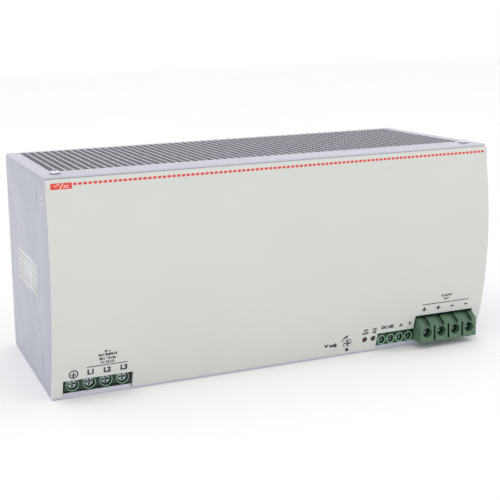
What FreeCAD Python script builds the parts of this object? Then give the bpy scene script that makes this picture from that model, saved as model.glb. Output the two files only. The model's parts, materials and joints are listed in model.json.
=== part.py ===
"""Three-phase DIN rail power supply in a wide metal case with a bowed plastic front.

Frame: millimetres, +Z up, +X to the right seen from the front, the front faces -Y.
The origin is the centre of the rail seat: the rail's centreline, on the plane where the rail's flanges bear.
Each function makes one piece, or one group of identical pieces, and save() writes it as parts/NODE.step.
"""

import FreeCAD, Part
import math
import os

V = FreeCAD.Vector

# ---------------------------------------------------------------- driving dimensions
case_width = 276.0
case_height = 126.2
case_depth = 130.0            # back sheet to the crown of the bowed front
cover_sheet = 1.2             # bent cover: top, back and bottom
side_sheet = 1.5              # flat side plates
bend_radius = 5.0             # the cover's outer radius at its two rear bends
seam = 0.15                   # clearance between pieces of the case that lie face to face
lip_height = 3.2              # turned-up lips of the cover's bottom, in the panel's windows

# bowed front panel
panel_wall = 2.5
crown_height = 80.0           # height of the crown above the case's underside
crown_radius_up = 290.0
crown_radius_down = 215.0
band_height = 10.5            # upright band along the panel's top
panel_return = 8.0            # length of the return under the cover's front edge
panel_edge_radius = 2.6       # along the panel's top edge
sheet_set_back = 0.3          # panel's face to the edge of the cover's bottom sheet

# vent grilles, set flush into the cover's top and bottom
grille_pitch = 4.6
grille_bar = 1.0
grille_rim = 2.0              # plain border of the grille sheet
grille_fit = 0.05             # weld gap round the border
grille_columns = 57
top_rows = 21
bottom_rows = 16
grille_set_in = 9.5           # back of the case to the first row of holes

# side plates
slit_height = 10.2
slit_width = 1.5
slit_set_backs = (30.0, 36.0)  # crown to the upper and the lower slit
slit_insets = (15.2, 15.5)     # the upper slit below the top, the lower one above the underside
arm_screw = (15.6, 14.2)       # set back from the crown, distance below the top
sink_screw = (37.4, 7.4)       # the same, below the heat sink's top
sink_low_screws = ((44.0, 23.4), (44.0, 6.6))    # set back, height above the heat sink's lower end
fin_pitch = 8.0
sink_insets = (26.0, 26.2)     # heat sink above the underside and below the top
tab_length = 11.0
tab_width = 14.0
cover_screw_inset = 8.0       # case side to the cover screws' axes
top_tab_set_back = 16.4       # crown to the middle of the tab
bottom_tab_set_back = 39.0

# rail bracket and latch
bracket_plate = 3.0
bracket_step = 0.8            # the seat stands proud of the plate by this much
bracket_width = 160.0
bracket_reach = 42.0          # centreline to the plate's upper and lower edges
rail_height = 35.0
rail_flange = 1.0
rail_clearance = 0.4
hook_reach = 3.0              # overlap of the hook, and of the latch, behind the rail's flanges
hook_thickness = 2.5
latch_width = 70.0
latch_plate = 2.0
latch_travel = 6.0
latch_gap = 0.15
latch_length = 32.0
pull_tab = 6.0
spring_radius = 2.0
spring_wire = 0.35
spring_length = 11.0
spring_coils = 5
spring_spread = 22.0
spring_top = -26.0

# main board
board_thickness = 1.6
board_set_back = 34.0         # crown to the board's front face
board_gap = 4.0               # board edge to the side plates' inner faces
board_lift = 5.0              # board edge to the cover's sheets
low_posts = (24.5, 24.0)      # side plate's inner face to the post, height above the underside
high_posts = (18.5, 15.2)     # the same, distance below the top

# screws: shank and head radii
m3 = (1.5, 2.65)
m2 = (1.1, 2.0)
hole_clearance = 0.15

# front controls
lamp_height = 9.2
lamp_insets = (8.9, 3.0)      # from each lamp to the signal block beside it
lamp_radius = 1.5
trimmer_inset = 20.8          # from the adjuster to the signal block
trimmer_height = 8.5
knob_radius = 2.7
knob_depth = 4.0
knob_shaft = 1.3
panel_clearance = 0.25

# terminal blocks
input_inset, input_pitch = 6.86, 9.52     # case side to the block, pole to pole
output_inset, output_pitch = 7.18, 10.16
signal_gap, signal_pitch = 0.38, 6.35     # between the output block and the signal block
shelf = 1.2                   # housing wall behind each screw head
thread_wall = 1.8             # threaded wall of each cage
cage_floor = 1.4
contact_strip = 1.0
cage_clearance = 0.25
strip_clearance = 0.2         # open cage's threaded wall to the contact strip
thread_grip = 0.4             # the screw ends this far inside the open cage's threaded wall
thread_clearance = 0.08

# ---------------------------------------------------------------- derived places
half_width = case_width / 2
z_low = -case_height / 2
z_high = case_height / 2
y_back = -bracket_plate
y_crown = y_back - case_depth
z_crown = z_low + crown_height
z_band = z_high - band_height
inner_half = half_width - side_sheet
y_inner_back = y_back - cover_sheet
y_board = y_crown + board_set_back
y_board_rear = y_board + board_thickness
board_half = inner_half - board_gap
board_low = z_low + cover_sheet + board_lift
board_high = z_high - cover_sheet - board_lift
latch_shelf = -(rail_height / 2 + rail_clearance)
seat_half = rail_height / 2 + rail_clearance - hook_reach - 0.1


poles = 4
input_middle = -half_width + input_inset + input_pitch * poles / 2
output_middle = half_width - output_inset - output_pitch * poles / 2
signal_middle = output_middle - (output_pitch + signal_pitch) * poles / 2 - signal_gap
signal_left = signal_middle - signal_pitch * poles / 2
lamp_places = [signal_left - inset for inset in lamp_insets]
trimmer_x = signal_left - trimmer_inset


def evenly(middle, pitch, count=poles):
    """Places of a row about its middle."""
    return [middle + pitch * (i - (count - 1) / 2) for i in range(count)]


class Block:
    """One terminal block: the screw of each pole lies along Y, the wire comes up from below.

    The screw turns in place behind a shelf; the cage rides on its thread and lifts the wire against a fixed strip.
    """

    def __init__(self, name, centres, front, axis, low, high, well, thread, head, head_height, head_depth,
                 cage_half_x, cage_half_z, cage_wall, travel, tower=None):
        self.name = name
        self.centres = centres
        self.pitch = centres[1] - centres[0]
        self.front = front                        # Y of the wells' rims
        self.z = z_low + axis
        self.low = z_low + low
        self.high = z_low + high
        self.well = well
        self.thread = thread
        self.head = head
        self.head_front = front + head_depth
        self.seat = self.head_front + head_height
        self.half_x = cage_half_x
        self.half_z = cage_half_z
        self.wall = cage_wall
        self.travel = travel
        self.tower = tower                        # radius and height of a round collar about each well
        self.face = front + (tower[1] if tower else 0)
        closed = self.seat + shelf + 0.2          # cage's front face, fully closed
        self.cage_front = closed + travel         # the same, open, as modelled
        self.tip = self.cage_front + thread_wall - thread_grip
        self.strip_front = self.cage_front + thread_wall + strip_clearance
        self.strip_back = self.strip_front + contact_strip
        self.floor = self.strip_back + travel + 0.1
        self.cage_back = self.floor + cage_floor
        self.x_from = centres[0] - self.pitch / 2
        self.x_to = centres[-1] + self.pitch / 2
        self.cavity_top = self.z + cage_half_z + cage_clearance


INPUT = Block("input", evenly(input_middle, input_pitch), front=y_crown + 14.4, axis=8.2, low=4.6, high=14.0,
              well=3.25, thread=1.75, head=2.95, head_height=2.0, head_depth=1.2,
              cage_half_x=3.7, cage_half_z=2.6, cage_wall=0.9, travel=4.2)
OUTPUT = Block("output", evenly(output_middle, output_pitch), front=y_crown + 3.5, axis=10.3, low=4.4, high=20.1,
               well=3.1, thread=1.9, head=2.75, head_height=2.4, head_depth=4.6,
               cage_half_x=4.2, cage_half_z=4.3, cage_wall=1.0, travel=6.0)
SIGNAL = Block("signal", evenly(signal_middle, signal_pitch), front=y_crown + 12.6, axis=7.4, low=4.3, high=12.4,
               well=2.3, thread=1.2, head=2.05, head_height=1.5, head_depth=1.6,
               cage_half_x=2.4, cage_half_z=2.2, cage_wall=0.6, travel=2.6, tower=(2.95, 1.6))
BLOCKS = (INPUT, OUTPUT, SIGNAL)

# windows in the front panel: X from, X to, height above the underside; all open at the lower edge
panel_windows = (
    (INPUT.x_from - 0.9, INPUT.x_to + 0.9, 11.5),
    (SIGNAL.x_from - 0.3, SIGNAL.x_to + 0.5, 12.1),
    (OUTPUT.x_from - 0.6, OUTPUT.x_to + 0.4, 20.6),
)


# ---------------------------------------------------------------- helpers
def box(x0, x1, y0, y1, z0, z1):
    return Part.makeBox(x1 - x0, y1 - y0, z1 - z0, V(x0, y0, z0))


def side_box(side, x_in, x_out, y0, y1, z0, z1):
    """Box on the left (-1) or right (+1), between two distances from the middle plane."""
    x0, x1 = sorted((side * x_in, side * x_out))
    return box(x0, x1, y0, y1, z0, z1)


def rod(radius, start, direction, length):
    return Part.makeCylinder(radius, length, V(*start), V(*direction))


def union(shapes):
    first, rest = shapes[0], shapes[1:]
    return first.fuse(rest).removeSplitter() if rest else first


def outline_prism(points, direction):
    """Extrudes a closed outline; a step ("arc", middle, end) curves through a middle point, others are straight."""
    edges = []
    here = points[0]
    for step in list(points[1:]) + [points[0]]:
        if step[0] == "arc":
            edges.append(Part.Arc(V(*here), V(*step[1]), V(*step[2])).toShape())
            here = step[2]
        elif (V(*step) - V(*here)).Length > 1e-6:
            edges.append(Part.LineSegment(V(*here), V(*step)).toShape())
            here = step
    return Part.Face(Part.Wire(edges)).extrude(V(*direction))


def flat_screw(place, inward, length, size, clearance=0.0):
    """Countersunk screw, its head level with place; with a clearance it is the hole's cutter instead."""
    shank, head = size
    depth = head - shank
    cone = Part.makeCone(head + clearance, shank + clearance, depth, V(*place), V(*inward))
    body = cone.fuse(rod(shank + clearance, place, inward, length)).removeSplitter()
    if clearance:
        return body
    return body.cut(cross_recess(place, inward, 1.25 * head, 0.3 * head, 0.9 * depth))


def pan_screw(place, inward, length, size):
    """Domed screw, the underside of its head at place."""
    shank, radius = size
    height = 1.7
    top = V(*place) - V(*inward) * height
    head = rod(radius + 0.2, tuple(top), inward, height)
    rim = [e for e in head.Edges if (e.CenterOfMass - top).Length < 1e-6 and e.Length > radius]
    head = head.makeFillet(1.2, rim)
    body = head.fuse(rod(shank, place, inward, length)).removeSplitter()
    return body.cut(cross_recess(tuple(top), inward, 1.25 * radius, 0.3 * radius, 1.0))


def cross_recess(place, inward, span, width, depth):
    bars = []
    for turn in (0, 90):
        bar = Part.makeBox(span, width, 2 * depth, V(-span / 2, -width / 2, -depth))
        turned = FreeCAD.Rotation(V(0, 0, 1), V(*inward)).multiply(FreeCAD.Rotation(V(0, 0, 1), turn))
        bar.Placement = FreeCAD.Placement(V(*place), turned)
        bars.append(bar)
    return bars[0].fuse(bars[1])


def save(name, *solids):
    """Writes one node: a single solid, or a group of separate ones."""
    for solid in solids:
        if not solid.isValid() or solid.Volume <= 0 or len(solid.Solids) != 1:
            raise ValueError(f"{name}: not one sound solid")
    shape = solids[0] if len(solids) == 1 else Part.makeCompound(list(solids))
    shape.exportStep(os.path.join("parts", name + ".step"))
    print(f"{name:26s} solids {len(solids):3d}  volume {sum(s.Volume for s in solids) / 1000:9.3f} cm3")


def front_y(z, inset=0.0):
    """Depth of the bowed front at height z, set in from its outer face: two arcs that meet at the crown."""
    z = min(z, z_band)
    radius = (crown_radius_up if z > z_crown else crown_radius_down) - inset
    return y_crown + inset + radius - math.sqrt(radius**2 - (z - z_crown) ** 2)


def bowed_slab(inset, y_rear, z_from, z_to, x_from, x_to):
    """Everything behind the front's curve, set in by inset, back to y_rear, between two heights."""

    def at(z):
        return (x_from, front_y(z, inset), z)

    outline = [
        (x_from, y_rear, z_from),
        at(z_from),
        ("arc", at((z_from + z_crown) / 2), at(z_crown)),
        ("arc", at((z_crown + z_band) / 2), at(z_band)),
        (x_from, front_y(z_band, inset), z_to),
        (x_from, y_rear, z_to),
    ]
    return outline_prism(outline, (x_to - x_from, 0, 0))


# ---------------------------------------------------------------- case
def cover_fixings():
    """Place and inward direction of each cover screw, left and right: top, bottom and back."""
    fixings = []
    for side in (-1, 1):
        x = side * (half_width - cover_screw_inset)
        fixings.append(((x, y_crown + top_tab_set_back, z_high), (0, 0, -1)))
        fixings.append(((x, y_crown + bottom_tab_set_back, z_low), (0, 0, 1)))
        fixings.append(((x, y_back, 0), (0, -1, 0)))
    return fixings


def bracket_fixings():
    return [((sx * (bracket_width / 2 - 12), -bracket_step, sz * 32), (0, -1, 0))
            for sx in (-1, 1) for sz in (-1, 1)]


def slits():
    """Middle of each slit in a side plate, where an arm of the front panel snaps in."""
    return [(y_crown + slit_set_backs[0], z_high - slit_insets[0]),
            (y_crown + slit_set_backs[1], z_low + slit_insets[1])]


def side_fixings(side):
    """Screws of one side plate: one into the front panel's arm, three into the heat sink."""
    places = [(arm_screw[0], z_high - arm_screw[1], m3),
              (sink_screw[0], z_high - sink_insets[1] - sink_screw[1], m2)]
    places += [(back, z_low + sink_insets[0] + up, m2) for back, up in sink_low_screws]
    return [((side * half_width, y_crown + back, z), (-side, 0, 0), size) for back, z, size in places]


def grille_span(rows):
    """Half width, front Y and rear Y of a grille's field of holes."""
    half_x = (grille_columns * grille_pitch - grille_bar) / 2
    rear = y_back - grille_set_in
    return half_x, rear - (rows * grille_pitch - grille_bar), rear


def cable_slots():
    """Cut-outs in the cover's bottom below the terminals."""
    y_from = front_y(z_low) + sheet_set_back + cover_sheet + 0.8
    left, signal, output = panel_windows
    return [(left[0] + 0.5, left[1] - 0.5, y_from, y_board - 2.5),
            (signal[0] + 0.5, output[1] - 0.5, y_from, y_board - 2.5)]


def bent_cover():
    """Top, back and bottom bent from one sheet, with a short lip turned up from the bottom in each window."""
    x0 = -half_width
    y_top = front_y(z_high) + panel_edge_radius
    y_lip = front_y(z_low) + sheet_set_back
    k = math.sqrt(0.5)

    def bent(grow, y_top_end, y_low_end, more):
        """Outline of the outer face, or of the inner one grown in by the sheet's thickness."""
        a, b, c, r = y_back - grow, z_high - grow, z_low + grow, bend_radius - grow
        points = [(x0, y_top_end, b), (x0, a - r, b), ("arc", (x0, a - r + r * k, b - r + r * k), (x0, a, b - r)),
                  (x0, a, c + r), ("arc", (x0, a - r + r * k, c + r - r * k), (x0, a - r, c)), (x0, y_low_end, c)]
        return outline_prism(points + more, (case_width, 0, 0))

    outer = bent(0, y_top, y_lip, [(x0, y_lip, z_low + lip_height), (x0, y_lip, 0), (x0, y_top, 0)])
    inner = bent(cover_sheet, y_crown - 9, y_lip + cover_sheet, [
        (x0, y_lip + cover_sheet, z_low + lip_height), (x0, y_crown - 9, z_low + lip_height)])
    body = outer.cut(inner)
    cuts = []
    for rows, z_from in ((top_rows, z_high - cover_sheet - 1), (bottom_rows, z_low - 1)):
        half_x, y_front, y_rear = grille_span(rows)
        grow = grille_rim + grille_fit
        cuts.append(box(-half_x - grow, half_x + grow, y_front - grow, y_rear + grow, z_from, z_from + cover_sheet + 2))
    for slot_x0, slot_x1, slot_y0, slot_y1 in cable_slots():
        cuts.append(box(slot_x0, slot_x1, slot_y0, slot_y1, z_low - 1, z_low + cover_sheet + 1))
    for place, inward in cover_fixings():
        flat = place[2] < z_high
        cuts.append(flat_screw(place, inward, 8, m3, hole_clearance) if flat
                    else rod(m3[0] + hole_clearance, place, inward, 8))
    for place, inward in bracket_fixings():
        cuts.append(rod(m3[0] + hole_clearance, place, inward, 8))
    # the lip stands only in the windows: under the panel the sheet stays flat
    left, signal, output = panel_windows
    edges = (-half_width - 1, left[0] + 0.3, left[1] - 0.3, signal[0] + 0.3, output[1] - 0.3, half_width + 1)
    for x_from, x_to in zip(edges[::2], edges[1::2]):
        cuts.append(box(x_from, x_to, y_lip - 1, y_lip + cover_sheet + 1, z_low + cover_sheet, z_low + lip_height + 1))
    return body.cut(cuts)


def grille(rows, z_from):
    """Punched sheet of square holes, welded flush into its opening in the cover."""
    half_x, y_front, y_rear = grille_span(rows)
    hole = grille_pitch - grille_bar

    def loop(x0, x1, y0, y1):
        return Part.makePolygon([V(x0, y0, z_from), V(x0, y1, z_from), V(x1, y1, z_from), V(x1, y0, z_from),
                                 V(x0, y0, z_from)])

    # the border runs one way round and the holes the other
    wires = [loop(half_x + grille_rim, -half_x - grille_rim, y_front - grille_rim, y_rear + grille_rim)]
    for i in range(grille_columns):
        x = -half_x + i * grille_pitch
        for j in range(rows):
            y = y_front + j * grille_pitch
            wires.append(loop(x, x + hole, y, y + hole))
    return Part.Face(wires).extrude(V(0, 0, cover_sheet))


def side_plate(side):
    """Flat plate behind the panel's edge, with screw tabs turned in along the cover's sheets."""
    z0, z1 = z_low + cover_sheet + seam, z_high - cover_sheet - seam
    y1 = y_inner_back - seam
    x0, x1 = sorted((side * half_width, side * inner_half))
    plate = bowed_slab(panel_wall + seam, y1, z0, z1, x0, x1)
    rear_edges = [e for e in plate.Edges if all(abs(v.Y - y1) < 1e-6 for v in e.Vertexes)
                  and abs(e.Vertexes[0].Z - e.Vertexes[-1].Z) < 1e-6 and e.Length < side_sheet + 1e-6]
    plate = plate.makeFillet(bend_radius - cover_sheet - seam, rear_edges)
    x_in = half_width - tab_width
    parts = [plate]
    for set_back, z in ((top_tab_set_back, z1 - side_sheet), (bottom_tab_set_back, z0)):
        y = y_crown + set_back
        parts.append(side_box(side, x_in, half_width, y - tab_length / 2, y + tab_length / 2, z, z + side_sheet))
    parts.append(side_box(side, x_in, half_width, y1 - side_sheet, y1, -tab_length / 2, tab_length / 2))
    cuts = []
    for place, inward in cover_fixings():
        cuts.append(rod(m3[0] + hole_clearance, place, inward, 8))
    for y, z in slits():
        cuts.append(side_box(side, inner_half - 1, half_width + 1, y - slit_width / 2, y + slit_width / 2,
                             z - slit_height / 2, z + slit_height / 2))
    for place, inward, size in side_fixings(side):
        cuts.append(flat_screw(place, inward, 8, size, hole_clearance))
    return union(parts).cut(cuts)


def front_panel():
    """Bowed plastic front: skin, top return, windows over the terminals and four snap arms."""
    z_top = z_high - cover_sheet - seam
    z_bottom = z_low + cover_sheet + seam
    skin = bowed_slab(0, y_crown + 60, z_bottom, z_top, -half_width, half_width)
    rim = [e for e in skin.Edges if e.Length > case_width - 1 and abs(e.CenterOfMass.z - z_top) < 1e-6
           and e.CenterOfMass.y < y_crown + 12]
    skin = skin.makeFillet(panel_edge_radius, rim)
    hollow = bowed_slab(panel_wall, y_crown + 70, z_low - 1, z_top - panel_wall, -half_width - 1, half_width + 1)
    behind = box(-half_width - 1, half_width + 1, front_y(z_high) + panel_return, y_crown + 80,
                 z_top - panel_wall - 1, z_high + 1)
    panel = skin.cut([hollow, behind])
    for side in (-1, 1):
        # the return stays inside the side plates
        panel = panel.cut(side_box(side, inner_half - seam, half_width + 1, front_y(z_high) + panel_wall,
                                   y_crown + 80, z_top - panel_wall - 1, z_high))
    parts = [panel]
    for y, z in slits():
        half_z = slit_height / 2 - 0.4
        for side in (-1, 1):
            outer = inner_half - 0.3
            parts.append(side_box(side, outer - 2.0, outer, front_y(z) + 1.5, y + 1.2, z - half_z, z + half_z))
            parts.append(side_box(side, outer - 1.0, half_width - 0.9, y - 0.4, y + 0.4, z - half_z, z + half_z))
    cuts = []
    for x0, x1, height in panel_windows:
        cuts.append(box(x0, x1, y_crown - 5, y_crown + 20, z_low - 1, z_low + height))
    for x in lamp_places:
        cuts.append(rod(lamp_radius + panel_clearance, (x, y_crown, z_low + lamp_height), (0, 1, 0), 30))
    cuts.append(rod(knob_radius + panel_clearance, (trimmer_x, y_crown, z_low + trimmer_height), (0, 1, 0), 30))
    for side in (-1, 1):
        place, inward, size = side_fixings(side)[0]
        cuts.append(rod(size[0] + hole_clearance, place, inward, 6))
    return union(parts).cut(cuts)


def rating_label():
    """Foil label on the left side plate."""
    return box(-half_width - 0.12, -half_width, y_crown + 38.0, y_crown + 99.0, z_low + 52.0, z_low + 72.0)


# ---------------------------------------------------------------- rail bracket and latch
def rail_bracket():
    """Plate on the back: a seat and a fixed hook for the rail, a channel for the latch, pegs for its springs."""
    half = bracket_width / 2
    above = rail_height / 2 + rail_clearance
    y_hook = rail_flange + rail_clearance
    y_plate = -bracket_step
    y_lid = y_plate + latch_plate + 2 * latch_gap
    parts = [
        box(-half, half, y_back, y_plate, -bracket_reach, bracket_reach),
        box(-half, half, y_plate, 0, -seat_half, seat_half),
        box(-half, half, y_plate, y_hook + hook_thickness, above, above + 4),
        box(-half, half, y_hook, y_hook + hook_thickness, above - hook_reach, above + 4),
    ]
    inner = latch_width / 2 + latch_gap
    for side in (-1, 1):
        parts.append(side_box(side, inner, inner + 5, y_plate, y_lid + 1.5, -40, -22))
        parts.append(side_box(side, inner - 3, inner + 5, y_lid, y_lid + 1.5, -40, -22))
    body = union(parts)
    cuts = [flat_screw(place, inward, 8, m3, hole_clearance) for place, inward in bracket_fixings()]
    pegs = []
    for side in (-1, 1):
        room = spring_radius + spring_wire + 0.35
        x = side * spring_spread
        bottom = spring_top - spring_length
        cuts.append(box(x - room, x + room, y_plate - 1.5, y_plate + 5, bottom, spring_top + 0.5))
        pegs.append(box(x - 1.6, x + 1.6, y_plate - 1, y_plate + latch_gap + latch_plate, bottom - 1.5, bottom))
    return union([body.cut(cuts)] + pegs)


def rail_latch():
    """Sliding plate: its bevelled edge grips the rail's lower flange, its slotted tab takes a screwdriver."""
    half = latch_width / 2
    y0 = -bracket_step + latch_gap
    y1 = y0 + latch_plate
    y_grip = rail_flange + rail_clearance
    top = latch_shelf - 0.1
    low = top - latch_length
    crest = latch_shelf + hook_reach
    riser = half - 5
    hook = outline_prism([
        (-riser, y1 - 0.5, top), (-riser, y1 - 0.5, top - 3), (-riser, y_grip + 2.6, top - 3),
        (-riser, y_grip + 2.6, crest - 1.8), (-riser, y_grip + 0.8, crest), (-riser, y_grip, crest),
        (-riser, y_grip, top)], (2 * riser, 0, 0))
    body = union([box(-half, half, y0, y1, low, top), hook, box(-9, 9, y0, y1, low - pull_tab, low)])
    cuts = [box(-4.5, 4.5, y0 - 1, y1 + 1, low - pull_tab + 2, low - pull_tab + 4)]
    for side in (-1, 1):
        room = spring_radius + spring_wire + 0.35
        x = side * spring_spread
        cuts.append(box(x - room, x + room, y0 - 1, y1 + 1, spring_top - spring_length - 1.6, spring_top))
    return body.cut(cuts)


def latch_spring(side):
    """Coil between the bracket's peg and the upper edge of the latch's window."""
    bottom = spring_top - spring_length + spring_wire + 0.05
    height = spring_length - 2 * spring_wire - 0.1
    helix = Part.makeHelix(height / spring_coils, height, spring_radius)
    profile = Part.Wire(Part.makeCircle(spring_wire, V(spring_radius, 0, 0), V(0, 1, 0)))
    coil = Part.Wire(helix.Edges).makePipeShell([profile], True, True)
    coil.translate(V(side * spring_spread, -bracket_step + latch_gap + latch_plate / 2, bottom))
    return coil


# ---------------------------------------------------------------- terminal blocks
def terminal_housing(b):
    """Moulded body: screwdriver wells in front, cage chambers behind, wire entries below."""
    body = box(b.x_from, b.x_to, b.face, y_board, b.low, b.high)
    if b is OUTPUT:
        # the upper front edge slopes back, with a narrow groove over each pole
        z_break, run, groove = z_low + 16.1, 7.0, 2.6
        rise = b.high - z_break

        def wedge(x0, x1, depth):
            return outline_prism([(x0, b.face - 1, z_break - depth - rise / run), (x0, b.face - 1, b.high + 1),
                                  (x0, b.face + run + 2, b.high + 1), (x0, b.face + run + 2, b.high),
                                  (x0, b.face + run + depth * 0.8, b.high), (x0, b.face, z_break - depth)],
                                 (x1 - x0, 0, 0))

        body = body.cut([wedge(b.x_from - 1, b.x_to + 1, 0)] + [wedge(x - 1.9, x + 1.9, groove) for x in b.centres])
        body = body.cut([box(x - 0.6, x + 0.6, b.face - 1, b.face + 4.5, z_low + 5.2, z_low + 14.4)
                         for x in evenly(output_middle, b.pitch, 3)])
    if b.tower:
        body = union([body] + [rod(b.tower[0], (x, b.front, b.z), (0, 1, 0), b.tower[1] + 0.5) for x in b.centres])
    cuts = []
    for x in b.centres:
        cuts.append(rod(b.well, (x, b.front - 1, b.z), (0, 1, 0), b.seat - b.front + 1))
        cuts.append(rod(b.thread + 0.2, (x, b.front, b.z), (0, 1, 0), b.seat + shelf - b.front + 0.5))
        reach = b.half_x + cage_clearance
        cuts.append(box(x - reach, x + reach, b.seat + shelf, b.cage_back + cage_clearance,
                        b.z - b.half_z - cage_clearance, b.cavity_top))
        entry = b.half_x - b.wall
        cuts.append(box(x - entry, x + entry, b.strip_back, b.floor, b.low - 1, b.z))
        # slot for the contact's tail, over the chamber and back to the board
        cuts.append(box(x - entry, x + entry, b.strip_front - 0.1, y_board + 1, b.cavity_top - 0.5,
                        b.cavity_top + contact_strip + 0.2))
    return body.cut(cuts)


def terminal_contact(b, x):
    """Strip that passes through the cage and runs back to a pin in the board."""
    half = b.half_x - b.wall - 0.25
    z_tail = b.cavity_top + 0.1
    strip = box(x - half, x + half, b.strip_front, b.strip_back, b.z - b.half_z, z_tail + contact_strip)
    tail = box(x - half, x + half, b.strip_front, y_board, z_tail, z_tail + contact_strip)
    pin = box(x - 0.8, x + 0.8, y_board - 0.5, y_board_rear + 1.5, z_tail, z_tail + contact_strip)
    return union([strip, tail, pin])


def terminal_screw(b, x):
    head = rod(b.head, (x, b.head_front, b.z), (0, 1, 0), b.seat - b.head_front)
    rim = [e for e in head.Edges if abs(e.CenterOfMass.y - b.head_front) < 1e-6 and e.Length > b.head]
    head = head.makeFillet(0.35, rim)
    shank = rod(b.thread, (x, b.head_front + 0.5, b.z), (0, 1, 0), b.tip - b.head_front - 0.5)
    place = (x, b.head_front, b.z)
    return head.fuse(shank).removeSplitter().cut(cross_recess(place, (0, 1, 0), 1.45 * b.head, 0.32 * b.head, 1.1))


def terminal_cage(b, x):
    """Rectangular ring on the screw's thread; the wire and the fixed contact pass up through it."""
    ring = box(x - b.half_x, x + b.half_x, b.cage_front, b.cage_back, b.z - b.half_z, b.z + b.half_z)
    inner = b.half_x - b.wall
    window = box(x - inner, x + inner, b.cage_front + thread_wall, b.floor, b.z - b.half_z - 1, b.z + b.half_z + 1)
    thread = rod(b.thread + thread_clearance, (x, b.cage_front - 1, b.z), (0, 1, 0), thread_wall + 2)
    return ring.cut([window, thread])


# ---------------------------------------------------------------- board and front controls
def board_fixings():
    """Place of each spacer; the lower ones stand clear of the terminal blocks and the heat sinks."""
    return [(sx * x, z) for sx in (-1, 1)
            for x, z in ((inner_half - low_posts[0], z_low + low_posts[1]),
                         (inner_half - high_posts[0], z_high - high_posts[1]))]


def main_board():
    board = box(-board_half, board_half, y_board, y_board_rear, board_low, board_high)
    cuts = [rod(m3[0] + hole_clearance, (x, y_board - 1, z), (0, 1, 0), 5) for x, z in board_fixings()]
    for b in BLOCKS:
        z = b.cavity_top + 0.1
        cuts += [box(x - 0.9, x + 0.9, y_board - 1, y_board + 5, z - 0.1, z + contact_strip + 0.1)
                 for x in b.centres]
    return board.cut(cuts)


def board_post(x, z):
    """Spacer between the board and the cover's back, tapped for the board screw."""
    return rod(3.0, (x, y_board_rear, z), (0, 1, 0), y_inner_back - y_board_rear).cut(
        rod(m3[0] + 0.05, (x, y_board_rear - 1, z), (0, 1, 0), 11))


def board_screw(x, z):
    """Cheese-head screw with a straight slot."""
    head = rod(2.75, (x, y_board - 2.0, z), (0, 1, 0), 2.0)
    body = head.fuse(rod(m3[0], (x, y_board - 1, z), (0, 1, 0), 8 + board_thickness)).removeSplitter()
    return body.cut(box(x - 3, x + 3, y_board - 3, y_board - 1.2, z - 0.4, z + 0.4))


def lamp(x):
    """Indicator: a domed light guide from its diode on the board to the panel's face."""
    z = z_low + lamp_height
    tip = front_y(z) - 0.3
    guide = rod(lamp_radius, (x, tip, z), (0, 1, 0), y_board - tip)
    rim = [e for e in guide.Edges if abs(e.CenterOfMass.y - tip) < 1e-6 and e.Length > lamp_radius]
    return guide.makeFillet(lamp_radius * 0.75, rim).fuse(
        rod(2.4, (x, y_board - 5, z), (0, 1, 0), 5)).removeSplitter()


def trimmer_body():
    z = z_low + trimmer_height
    body = box(trimmer_x - 4.8, trimmer_x + 4.8, y_board - 6.5, y_board, z - 4.8, z + 4.8)
    return body.cut(rod(knob_shaft + 0.1, (trimmer_x, y_board - 8, z), (0, 1, 0), 6))


def trimmer_knob():
    """Rotor turned by a screwdriver through the panel."""
    z = z_low + trimmer_height
    face = front_y(z) - 0.1
    head = rod(knob_radius, (trimmer_x, face, z), (0, 1, 0), knob_depth)
    shaft = rod(knob_shaft, (trimmer_x, face + 1, z), (0, 1, 0), y_board - 2.5 - face - 1)
    body = head.fuse(shaft).removeSplitter()
    return body.cut(cross_recess((trimmer_x, face, z), (0, 1, 0), 4.2, 0.9, 1.2))


# ---------------------------------------------------------------- inside the case
def heat_sink(side):
    """Finned extrusion against the side plate, flat where the transistors sit."""
    z0, z1 = z_low + sink_insets[0], z_high - sink_insets[1]
    y0, y1 = y_board_rear + 0.6, y_board_rear + 66
    base = side_box(side, inner_half - 4, inner_half, y0, y1, z0, z1)
    fins = [side_box(side, inner_half - 20, inner_half - 3, y0 + 28, y1, z, z + 1.8)
            for z in evenly((z0 + z1) / 2 - 0.9, fin_pitch, int((z1 - z0 - 4) // fin_pitch) + 1)]
    holes = [rod(size[0] + 0.05, place, inward, 9) for place, inward, size in side_fixings(side)[1:]]
    return union([base] + fins).cut(holes)


def transistor(side, z):
    """Flat package on the heat sink, its three legs soldered into the board."""
    x = inner_half - 4.0
    y = y_board_rear + 4
    package = side_box(side, x - 5, x, y, y + 20, z - 8, z + 8)
    legs = [side_box(side, x - 3.2, x - 2.4, y_board_rear, y + 1, z + dz - 0.6, z + dz + 0.6)
            for dz in (-5.4, 0, 5.4)]
    # the legs end in pads on the board's edge, so they bend in a little way
    return union([package] + legs)


def standing_can(x, z, radius, length):
    """Capacitor on the board's rear face, with the crimped neck near its seal."""
    y = y_board_rear
    can = rod(radius, (x, y, z), (0, 1, 0), length)
    far = [e for e in can.Edges if abs(e.CenterOfMass.y - (y + length)) < 1e-6 and e.Length > radius]
    can = can.makeFillet(1.2, far)
    neck = Part.makeTorus(radius + 0.5, 1.0, V(x, y + 4, z), V(0, 1, 0))
    return can.cut(neck)


def ring_core(x, z):
    """Toroid lying flat behind the board."""
    y = y_board_rear + 3
    return rod(15, (x, y, z), (0, 1, 0), 14).cut(rod(8, (x, y - 1, z), (0, 1, 0), 16))


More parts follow.
